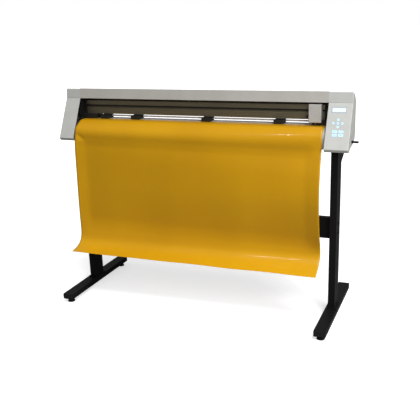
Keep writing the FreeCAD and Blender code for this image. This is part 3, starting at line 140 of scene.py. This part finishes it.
def moulded(name, colour, roughness=0.42, grain=3200, strength=0.22):
    """Moulded plastic with a spark-eroded texture."""
    material, tree, shader = start_material(name, Roughness=roughness)
    where = place(tree)
    cloud = noise(tree, where, scale=14)
    feed(shader, "Base Color", ramp(tree, cloud, scaled(colour, 0.95), scaled(colour, 1.04)))
    pits = add_node(tree, "ShaderNodeTexVoronoi", {"Vector": where, "Scale": grain})
    wear = noise(tree, where, scale=90, detail=2)
    feed(shader, "Roughness", spread(tree, wear, low=roughness - 0.04, high=roughness + 0.06))
    bump(tree, shader, pits.outputs["Distance"], strength, distance=0.00015)
    return material


def brushed(name, colour, stretch, roughness=0.32, grain=420):
    """Metal with fine lines along one axis."""
    material, tree, shader = start_material(name, Metallic=1.0, Roughness=roughness)
    lines = noise(tree, place(tree, stretch), grain, detail=4, roughness=0.7)
    wide = noise(tree, place(tree), scale=12)
    tint = add_node(tree, "ShaderNodeMix", {"Factor": 0.35}, data_type="RGBA")
    tree.links.new(ramp(tree, lines, scaled(colour, 0.85), scaled(colour, 1.1)), tint.inputs["A"])
    tree.links.new(ramp(tree, wide, scaled(colour, 0.9), scaled(colour, 1.05)), tint.inputs["B"])
    feed(shader, "Base Color", tint.outputs["Result"])
    feed(shader, "Roughness", spread(tree, lines, low=roughness - 0.07, high=roughness + 0.1))
    bump(tree, shader, lines, strength=0.12, distance=0.0001)
    return material


# The two slants of a knurl's cuts, in degrees.
KNURL_ANGLES = (35, -35)


def knurled(name, colour):
    """Steel rings crossed by two sets of fine slanting cuts, with painted shade darkening the cuts."""
    material, tree, shader = start_material(name, Metallic=1.0, Roughness=0.45)
    where = place(tree)
    cuts = []
    for angle in KNURL_ANGLES:
        turned = add_node(tree, "ShaderNodeMapping", {"Vector": where,
                                                      "Rotation": (0, 0, math.radians(angle))})
        wave = add_node(tree, "ShaderNodeTexWave", {"Vector": turned.outputs["Vector"], "Scale": 320.0,
                                                    "Distortion": 0.4}, bands_direction="X")
        cuts.append(wave.outputs["Fac"])
    crossed = add_node(tree, "ShaderNodeMath", operation="MULTIPLY")
    tree.links.new(cuts[0], crossed.inputs[0])
    tree.links.new(cuts[1], crossed.inputs[1])
    cut = crossed.outputs["Value"]
    # Painted shade: the base colour is drawn darker in the cuts, standing in for the shade that falls in them.
    feed(shader, "Base Color", ramp(tree, cut, scaled(colour, 0.6), colour, start=0.1, end=0.6))
    bump(tree, shader, cut, strength=0.7, distance=0.0004)
    return material


def rubber(name, colour):
    """Dull rubber with a fine grain."""
    material, tree, shader = start_material(name, Roughness=0.75)
    where = place(tree)
    grain = noise(tree, where, scale=900, detail=4)
    feed(shader, "Base Color", ramp(tree, grain, scaled(colour, 0.7), scaled(colour, 1.4)))
    feed(shader, "Roughness", spread(tree, noise(tree, where, scale=50), low=0.65, high=0.85))
    bump(tree, shader, grain, strength=0.25, distance=0.0002)
    return material


# The film's colour, between its darker and its lighter patches.
YELLOW_LOW = (0.640, 0.318, 0.003)
YELLOW_HIGH = (0.715, 0.372, 0.004)


def vinyl_film():
    """Coloured self-adhesive film: smooth, slightly mottled, with a soft clear surface."""
    material, tree, shader = start_material("yellow_film", Roughness=0.32, Coat_Weight=0.3,
                                            Coat_Roughness=0.09, Specular_IOR_Level=0.3)
    where = place(tree)
    broad = noise(tree, place(tree, (1.0, 1.0, 0.45)), scale=3.2, detail=4, roughness=0.5)
    feed(shader, "Base Color", ramp(tree, broad, YELLOW_LOW, YELLOW_HIGH, start=0.25, end=0.75))
    feed(shader, "Roughness", spread(tree, noise(tree, where, scale=30), low=0.30, high=0.40))
    ripple = noise(tree, where, scale=160, detail=4, roughness=0.6)
    bump(tree, shader, ripple, strength=0.08, distance=0.0004)
    return material


def lit_key(name, colour, strength):
    """Translucent cap lit from behind, with a fine frosted grain."""
    material, tree, shader = start_material(name, Roughness=0.4, Emission_Strength=strength)
    where = place(tree)
    frost = noise(tree, where, scale=700)
    feed(shader, "Base Color", ramp(tree, frost, scaled(colour, 0.92), colour))
    feed(shader, "Emission Color", ramp(tree, frost, scaled(colour, 0.9), scaled(colour, 1.08)))
    bump(tree, shader, frost, strength=0.15, distance=0.0001)
    return material


def lit_screen():
    """Backlit liquid-crystal panel with the faint grid of its character cells."""
    material, tree, shader = start_material("lit_screen", Roughness=0.12, Emission_Strength=0.82)
    where = place(tree)
    cells = add_node(tree, "ShaderNodeTexBrick", {"Vector": where, "Scale": 1.0, "Mortar Size": 0.0004,
                                                  "Brick Width": 0.0036, "Row Height": 0.0066,
                                                  "Color1": (0.86, 0.94, 1.0, 1),
                                                  "Color2": (0.88, 0.95, 1.0, 1),
                                                  "Mortar": (0.97, 0.99, 1.0, 1)}, offset=0.0)
    feed(shader, "Emission Color", cells.outputs["Color"])
    shader.inputs["Base Color"].default_value = (0.2, 0.25, 0.28, 1)
    return material


def circuit_board():
    """Green solder mask over a grid of tracks."""
    material, tree, shader = start_material("solder_mask", Roughness=0.35)
    where = place(tree)
    tracks = add_node(tree, "ShaderNodeTexBrick", {"Vector": where, "Scale": 60.0, "Mortar Size": 0.06,
                                                   "Color1": (0.01, 0.12, 0.05, 1),
                                                   "Color2": (0.01, 0.16, 0.07, 1),
                                                   "Mortar": (0.03, 0.25, 0.10, 1)})
    feed(shader, "Base Color", tracks.outputs["Color"])
    bump(tree, shader, tracks.outputs["Fac"], strength=0.3, distance=0.0002)
    return material


COVER = (0.575, 0.58, 0.55)
finishes = {
    "stand_black": powder_coat("black_powder_coat", (0.006, 0.006, 0.0065), 0.45, gloss=0.25),
    "cover_white": powder_coat("grey_powder_coat", (0.52, 0.505, 0.465), 0.38),
    "cover_plastic": moulded("grey_cover", COVER, 0.44),
    "black_plastic": moulded("black_moulding", (0.006, 0.006, 0.0065), 0.55),
    "black_steel": powder_coat("black_plate", (0.007, 0.007, 0.008), 0.55, gloss=0.2),
    "sheet_zinc": brushed("galvanised", (0.55, 0.56, 0.58), (1, 1, 1), 0.42, 60),
    "roller_steel": brushed("roller_tube", (0.55, 0.56, 0.57), (0.05, 1, 1), 0.3),
    "shaft_steel": brushed("ground_steel", (0.55, 0.55, 0.57), (1, 0.05, 0.05), 0.25),
    "grit_steel": knurled("knurled_steel", (0.36, 0.36, 0.37)),
    "bed_grey": powder_coat("bed_coat", (0.86, 0.85, 0.85), 0.4),
    "strip_plastic": moulded("cutting_strip_plastic", (0.75, 0.75, 0.72), 0.5, 1500),
    "beam_aluminium": brushed("bronze_anodised", (0.37, 0.335, 0.235), (0.02, 1, 1), 0.42),
    "pulley_aluminium": brushed("machined_aluminium", (0.6, 0.61, 0.62), (1, 1, 1), 0.3, 500),
    "board_green": circuit_board(),
    "screen": moulded("screen_frame", (0.42, 0.48, 0.56), 0.3),
    "motor_black": powder_coat("motor_paint", (0.02, 0.02, 0.022), 0.4),
    "belt_rubber": rubber("belt_rubber", (0.004, 0.004, 0.004)),
    "carriage_steel": brushed("carriage_plate", (0.40, 0.40, 0.41), (1, 1, 0.05), 0.35),
    "carriage_plastic": moulded("carriage_shell", (0.52, 0.505, 0.47), 0.38),
    "knife_metal": brushed("turned_steel", (0.20, 0.20, 0.21), (1, 1, 0.2), 0.3, 500),
    "yellow_vinyl": vinyl_film(),
    "wheel_rubber": rubber("wheel_rubber", (0.02, 0.02, 0.02)),
    "key_blue": lit_key("lit_key", (0.50, 0.76, 0.98), 0.45),
}
for part in frame["record"]["subparts"]:
    materials = nodes[part["node"]].data.materials
    materials.clear()
    materials.append(finishes[part["material_slot"]])


# ---------------------------------------------------------------------------------------
# Pieces
# ---------------------------------------------------------------------------------------
def new_piece(name, mesh, finish, body):
    piece = bpy.data.objects.new(name, mesh)
    bpy.context.scene.collection.objects.link(piece)
    mesh.materials.append(finish)
    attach(piece, body)
    return piece


def from_bmesh(name, work):
    mesh = bpy.data.meshes.new(name)
    work.to_mesh(mesh)
    work.free()
    return mesh


# Loaded sheet ---------------------------------------------------------------------------
# The bed's front edge, the sheet's level on the bed, the radius of its bend over the apron, its rear edge.
BED_FRONT = -0.040
MEDIA_LEVEL = 1.0049
WRAP_RADIUS = 0.0569
TAIL = 0.008
# Degrees of that bend that the left and right edges follow, and the angle between its points.
LEFT_WRAP = 32
RIGHT_WRAP = 86
WRAP_STEP = 14
# The free part of each edge (y, z), down to its curled end.
LEFT_HANG = [(-0.114, 0.966), (-0.132, 0.908), (-0.138, 0.865), (-0.147, 0.679), (-0.151, 0.470),
             (-0.151, 0.384), (-0.161, 0.340), (-0.186, 0.314), (-0.222, 0.300), (-0.261, 0.2925)]
RIGHT_HANG = [(-0.098, 0.925), (-0.101, 0.895), (-0.111, 0.856), (-0.130, 0.763), (-0.138, 0.640),
              (-0.111, 0.469), (-0.085, 0.385), (-0.086, 0.349), (-0.104, 0.322), (-0.140, 0.298),
              (-0.185, 0.2755)]


def edge_profile(wrap, hang):
    """One edge of the sheet: flat on the bed, round the apron as far as wrap, then hanging."""
    points = [Vector((TAIL, MEDIA_LEVEL)), Vector(((TAIL + BED_FRONT) / 2, MEDIA_LEVEL))]
    steps = max(2, round(wrap / WRAP_STEP))
    for k in range(steps + 1):
        angle = math.radians(wrap * k / steps)
        points.append(Vector((BED_FRONT - WRAP_RADIUS * math.sin(angle),
                              MEDIA_LEVEL - WRAP_RADIUS * (1 - math.cos(angle)))))
    return points + [Vector(p) for p in hang]


# Pieces that each stretch of an edge's curve is walked in.
FINE = 60


def even_profile(points, count):
    """Points at equal distances along a smooth curve through a list of points."""
    fine = []
    for i in range(len(points) - 1):
        p0, p1, p2, p3 = (points[max(0, min(len(points) - 1, k))] for k in (i - 1, i, i + 1, i + 2))
        # Each stretch keeps to its own chord where its neighbours are longer or shorter.
        gaps = [max(1e-4, (b - a).length) ** 0.5 for a, b in ((p0, p1), (p1, p2), (p2, p3))]
        start = (p2 - p1) if i == 0 else (
            (p1 - p0) / gaps[0] - (p2 - p0) / (gaps[0] + gaps[1]) + (p2 - p1) / gaps[1]) * gaps[1]
        end = (p2 - p1) if i == len(points) - 2 else (
            (p2 - p1) / gaps[1] - (p3 - p1) / (gaps[1] + gaps[2]) + (p3 - p2) / gaps[2]) * gaps[1]
        for k in range(FINE):
            t = k / FINE
            fine.append((2 * t ** 3 - 3 * t ** 2 + 1) * p1 + (t ** 3 - 2 * t ** 2 + t) * start
                        + (3 * t ** 2 - 2 * t ** 3) * p2 + (t ** 3 - t ** 2) * end)
    fine.append(points[-1])
    walked = [0.0]
    for a, b in zip(fine, fine[1:]):
        walked.append(walked[-1] + (b - a).length)
    found = []
    k = 0
    for i in range(count + 1):
        target = walked[-1] * i / count
        while k < len(fine) - 2 and walked[k + 1] < target:
            k += 1
        part = (target - walked[k]) / max(1e-9, walked[k + 1] - walked[k])
        found.append(fine[k].lerp(fine[k + 1], part))
    return found, walked[-1]


def smooth(a, b, x):
    x = max(0.0, min(1.0, (x - a) / (b - a)))
    return x * x * (3 - 2 * x)


# Quads across and along the sheet.
SHEET_ACROSS = 150
SHEET_ALONG = 170
# Share of the width that each margin takes, how softly it turns, how far the sheet lies back behind its two
# edges, how far it bulges over the apron, and the depth of the crease at the left.
LEFT_MARGIN = 0.045
RIGHT_MARGIN = 0.055
MARGIN_BEND = 0.02
LEFT_DISH = 0.017
RIGHT_DISH = 0.017
BULGE = 0.011
PUCKER = 0.005
# Where the crease starts across the sheet and along it, how it slants, and how wide it is.
PUCKER_ACROSS = 0.022
PUCKER_ALONG = 0.185
PUCKER_SLANT = 0.9
PUCKER_WIDTH = 0.016
# Between which shares of the length the waves begin, and the dish and the bulge each begin and end.
WAVES_START = (0.2, 0.5)
DISH_START = (0.16, 0.27)
DISH_END = (0.72, 0.86)
BULGE_START = (0.09, 0.2)
BULGE_END = (0.22, 0.5)
# Between which shares of the width the left side's shape gives way to the right side's.
LEFT_TO_RIGHT = (0.3, 0.9)
# Slack waves, a broad and a fine one: their height, and how they run across and along the sheet.
WAVES = ((0.0020, 7.5 * math.pi, 1.4), (0.0012, 17, 6))
# Thicker than real film, which is about 0.1 mm.
FILM_THICKNESS = 0.0004


def margin(u, width):
    """Climbs evenly from 0 at an edge to 1 at the margin's width, and turns there in a short bend."""
    x = u / width
    return (x + 1 - math.sqrt((x - 1) ** 2 + MARGIN_BEND)) / 2


def make_sheet():
    """The hanging film, with slack waves below the apron and a soft curl down each margin."""
    low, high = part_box("vinyl_sheet")
    left, length = even_profile(edge_profile(LEFT_WRAP, LEFT_HANG), SHEET_ALONG)
    right, other = even_profile(edge_profile(RIGHT_WRAP, RIGHT_HANG), SHEET_ALONG)
    work = bmesh.new()
    rows = []
    for j in range(SHEET_ALONG + 1):
        row = []
        s = j / SHEET_ALONG
        free = smooth(*WAVES_START, s)
        middle = smooth(*DISH_START, s) * (1 - smooth(*DISH_END, s))
        over_apron = smooth(*BULGE_START, s) * (1 - smooth(*BULGE_END, s))
        for i in range(SHEET_ACROSS + 1):
            u = i / SHEET_ACROSS
            y, z = left[j].lerp(right[j], u)
            wave = sum(height * math.sin(run * u + drift * s) for height, run, drift in WAVES)
            rightness = smooth(*LEFT_TO_RIGHT, u)
            dish = LEFT_DISH * margin(u, LEFT_MARGIN) * (1 - rightness)
            dish += RIGHT_DISH * margin(1 - u, RIGHT_MARGIN) * rightness
            bulge = over_apron * math.sin(math.pi * u) ** 0.5
            aside = (u - PUCKER_ACROSS) / PUCKER_WIDTH
            below = (s - PUCKER_ALONG - PUCKER_SLANT * u) / PUCKER_WIDTH
            pucker = math.exp(-aside ** 2 - below ** 2)
            y += free * wave + dish * middle - BULGE * bulge + PUCKER * pucker
            row.append(work.verts.new((low.x + (high.x - low.x) * u, y, z)))
        rows.append(row)
    for a, b in zip(rows, rows[1:]):
        for i in range(SHEET_ACROSS):
            work.faces.new((a[i], a[i + 1], b[i + 1], b[i])).smooth = True
    work.normal_update()
    sheet = new_piece("vinyl_film", from_bmesh("vinyl_film", work), finishes["yellow_vinyl"], "machine")
    solid = sheet.modifiers.new("thickness", "SOLIDIFY")
    solid.thickness = FILM_THICKNESS
    solid.offset = 0
    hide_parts("vinyl_sheet")


make_sheet()


# Operator panel -------------------------------------------------------------------------
def panel_axes():
    """Across, up the slope and outward from the sloping front, from the way its keys move."""
    press = [j for j in frame["joints"] if j["name"] == "key_centre_press"][0]
    outward = -Vector(press["axis"]).normalized()
    across = Vector((1, 0, 0))
    return across, outward.cross(across).normalized(), outward


ACROSS, UPWARD, OUTWARD = panel_axes()


def plug_mesh(name, outline, centre, thickness, bevel):
    """A plate with rounded edges whose outline lies in the sloping panel."""
    work = bmesh.new()
    base = [work.verts.new(centre + ACROSS * a + UPWARD * b) for a, b in outline]
    face = work.faces.new(base)
    raised = bmesh.ops.extrude_face_region(work, geom=[face])
    bmesh.ops.translate(work, verts=[v for v in raised["geom"] if isinstance(v, bmesh.types.BMVert)],
                        vec=OUTWARD * thickness)
    bmesh.ops.recalc_face_normals(work, faces=work.faces)
    top = [e for e in work.edges
           if all((v.co - centre).dot(OUTWARD) > thickness * 0.9 for v in e.verts)]
    bmesh.ops.bevel(work, geom=top, offset=bevel, segments=2, affect="EDGES", profile=0.5)
    return from_bmesh(name, work)


def rounded_rectangle(wide, tall, radius, steps=5):
    outline = []
    for corner, (sx, sy) in enumerate(((1, 1), (-1, 1), (-1, -1), (1, -1))):
        for k in range(steps + 1):
            angle = math.radians(90 * corner + 90 * k / steps)
            outline.append((sx * (wide / 2 - radius) + radius * math.cos(angle),
                            sy * (tall / 2 - radius) + radius * math.sin(angle)))
    return outline


def face_centre(node):
    """Middle and width of a node's outermost face on the sloping panel."""
    points = [v.co for v in nodes[node].data.vertices]
    out = max(p.dot(OUTWARD) for p in points)
    top = [p for p in points if out - p.dot(OUTWARD) < 0.0002]
    low = Vector([min(p[k] for p in top) for k in range(3)])
    high = Vector([max(p[k] for p in top) for k in range(3)])
    return (low + high) / 2, high.x - low.x


# Marks on the keys stand this proud, with this bevel.
MARK_HEIGHT = 0.00025
MARK_BEVEL = 0.00006
# The screen's window: how much of the bezel is left at its sides, its height, corner radius and thickness.
BEZEL = 0.006
WINDOW_TALL = 0.0205
WINDOW_RADIUS = 0.0012
WINDOW_THICKNESS = 0.0003
WINDOW_BEVEL = 0.0001
ARROW = ((0, 0.0021), (-0.0019, -0.0012), (0.0019, -0.0012))
DOT_WIDE = 0.0034
DOT_RADIUS = 0.0016
# Bars on the wide keys: their share of the key's length, their height and corner radius.
BAR_SHARE = 0.45
BAR_TALL = 0.0016
BAR_RADIUS = 0.0007


def make_panel():
    """Screen window, raised marks on the arrow keys and short bars on the wide ones."""
    dark = moulded("key_mark", (0.10, 0.13, 0.18), 0.5)
    middle, wide = face_centre("lcd_module")
    outline = rounded_rectangle(wide - BEZEL, WINDOW_TALL, WINDOW_RADIUS)
    window = plug_mesh("screen_window", outline, middle, WINDOW_THICKNESS, WINDOW_BEVEL)
    new_piece("screen_window", window, lit_screen(), "machine")
    for name, turn in (("up", 0), ("left", 90), ("down", 180), ("right", 270)):
        centre, _ = face_centre(f"key_{name}")
        angle = math.radians(turn)
        points = []
        for a, b in ARROW:
            points.append((a * math.cos(angle) - b * math.sin(angle),
                           a * math.sin(angle) + b * math.cos(angle)))
        mark = plug_mesh(f"arrow_{name}", points, centre, MARK_HEIGHT, MARK_BEVEL)
        new_piece(f"arrow_{name}", mark, dark, f"key_{name}")
    centre, _ = face_centre("key_centre")
    dot = rounded_rectangle(DOT_WIDE, DOT_WIDE, DOT_RADIUS)
    dot_mesh = plug_mesh("centre_mark", dot, centre, MARK_HEIGHT, MARK_BEVEL)
    new_piece("centre_mark", dot_mesh, dark, "key_centre")
    for name in ("menu", "enter", "test", "pause"):
        centre, size = face_centre(f"key_{name}")
        outline = rounded_rectangle(size * BAR_SHARE, BAR_TALL, BAR_RADIUS)
        bar = plug_mesh(f"bar_{name}", outline, centre, MARK_HEIGHT, MARK_BEVEL)
        new_piece(f"bar_{name}", bar, dark, f"key_{name}")


make_panel()


# ---------------------------------------------------------------------------------------
# Floor, light and camera
# ---------------------------------------------------------------------------------------
FLOOR_RADIUS = 60
FLOOR_SEGMENTS = 96
# The floor's glow rises from one strength to the other between these distances from the object.
GLOW_FROM, GLOW_TO = 0.8, 5.0
GLOW_LOW, GLOW_HIGH = 0.60, 0.75


def make_floor():
    """A wide pale floor that grows brighter away from the object and meets the backdrop without a line."""
    work = bmesh.new()
    bmesh.ops.create_circle(work, cap_ends=True, segments=FLOOR_SEGMENTS, radius=FLOOR_RADIUS)
    floor = bpy.data.objects.new("floor", from_bmesh("floor", work))
    bpy.context.scene.collection.objects.link(floor)
    material, tree, shader = start_material("pale_floor", Roughness=0.8)
    where = place(tree)
    grain = noise(tree, where, scale=1.5)
    feed(shader, "Base Color", ramp(tree, grain, (0.92, 0.92, 0.92), (0.94, 0.94, 0.94)))
    reach = add_node(tree, "ShaderNodeVectorMath", operation="LENGTH")
    tree.links.new(where, reach.inputs[0])
    glow = add_node(tree, "ShaderNodeMapRange", {"Value": reach.outputs["Value"],
                                                 "From Min": GLOW_FROM, "From Max": GLOW_TO,
                                                 "To Min": GLOW_LOW, "To Max": GLOW_HIGH})
    shader.inputs["Emission Color"].default_value = (1, 1, 1, 1)
    feed(shader, "Emission Strength", glow.outputs["Result"])
    # Towards the object the floor throws back only a little light, like a studio floor seen from low down.
    dim = add_node(tree, "ShaderNodeBsdfDiffuse", {"Color": (0.16, 0.16, 0.16, 1)})
    seen = add_node(tree, "ShaderNodeLightPath")
    both = add_node(tree, "ShaderNodeMixShader", {"Fac": seen.outputs["Is Camera Ray"]})
    tree.links.new(dim.outputs["BSDF"], both.inputs[1])
    tree.links.new(shader.outputs["BSDF"], both.inputs[2])
    tree.links.new(both.outputs["Shader"], tree.nodes["Material Output"].inputs["Surface"])
    floor.data.materials.append(material)


STUDIO_STRENGTH = 0.18
BACKDROP_STRENGTH = 1.0
# The sun's strength, the width of its disc in degrees, and where it stands over the middle of the floor.
SUN_STRENGTH = 1.9
SUN_DISC = 24
SUN_PLACE = (1.2, -1.4, 3.5)
# Square lights: name, power in watts, side, place, and the point that each is aimed at.
AREA_LIGHTS = [("softbox", 46, 1.3, (2.2, -2.2, 2.1), (0.5, 0, 0.95)),
               ("side", 15, 1.6, (3.0, 0.2, 1.2), (0.7, 0, 0.95)),
               ("strip", 2.5, 0.18, (-0.05, -1.5, 2.6), (0.5, -0.1, 0.96))]


def aim_light(data, place_at, target):
    lamp = bpy.data.objects.new(data.name, data)
    bpy.context.scene.collection.objects.link(lamp)
    lamp.location = place_at
    lamp.rotation_euler = (Vector(target) - Vector(place_at)).to_track_quat("-Z", "Y").to_euler()


def make_lights():
    """White backdrop, a dim even studio, one broad high light and three square lights."""
    world = bpy.data.worlds.new("studio")
    bpy.context.scene.world = world
    world.use_nodes = True
    tree = world.node_tree
    studio = tree.nodes["Background"]
    studio.inputs["Color"].default_value = (1, 1, 1, 1)
    studio.inputs["Strength"].default_value = STUDIO_STRENGTH
    backdrop = add_node(tree, "ShaderNodeBackground", {"Color": (1, 1, 1, 1),
                                                       "Strength": BACKDROP_STRENGTH})
    seen = add_node(tree, "ShaderNodeLightPath")
    both = add_node(tree, "ShaderNodeMixShader", {"Fac": seen.outputs["Is Camera Ray"]})
    tree.links.new(studio.outputs["Background"], both.inputs[1])
    tree.links.new(backdrop.outputs["Background"], both.inputs[2])
    tree.links.new(both.outputs["Shader"], tree.nodes["World Output"].inputs["Surface"])
    high = bpy.data.lights.new("high", "SUN")
    high.energy = SUN_STRENGTH
    high.angle = math.radians(SUN_DISC)
    aim_light(high, SUN_PLACE, (0, 0, 0))
    for name, power, size, spot, target in AREA_LIGHTS:
        lamp = bpy.data.lights.new(name, "AREA")
        lamp.energy = power
        lamp.size = size
        aim_light(lamp, spot, target)


# The camera's place, its yaw, pitch and roll in degrees, and its lens and sensor in millimetres.
CAMERA_PLACE = (1.3109, -3.1257, 1.5362)
CAMERA_TURN = (22.43, -16.71, -1.90)
LENS = 55.41
SENSOR_WIDTH = 36


def make_camera():
    yaw, pitch, roll = (math.radians(angle) for angle in CAMERA_TURN)
    forward = Vector((-math.sin(yaw) * math.cos(pitch), math.cos(yaw) * math.cos(pitch), math.sin(pitch)))
    right = forward.cross(Vector((0, 0, 1))).normalized()
    up = right.cross(forward)
    side = right * math.cos(roll) + up * math.sin(roll)
    top = up * math.cos(roll) - right * math.sin(roll)
    data = bpy.data.cameras.new("camera")
    data.lens = LENS
    data.sensor_width = SENSOR_WIDTH
    camera = bpy.data.objects.new("camera", data)
    bpy.context.scene.collection.objects.link(camera)
    turn = Matrix((side, top, -forward)).transposed().to_4x4()
    camera.matrix_world = Matrix.Translation(CAMERA_PLACE) @ turn
    bpy.context.scene.camera = camera


make_floor()
make_lights()
make_camera()
bpy.context.scene.view_settings.view_transform = "Standard"
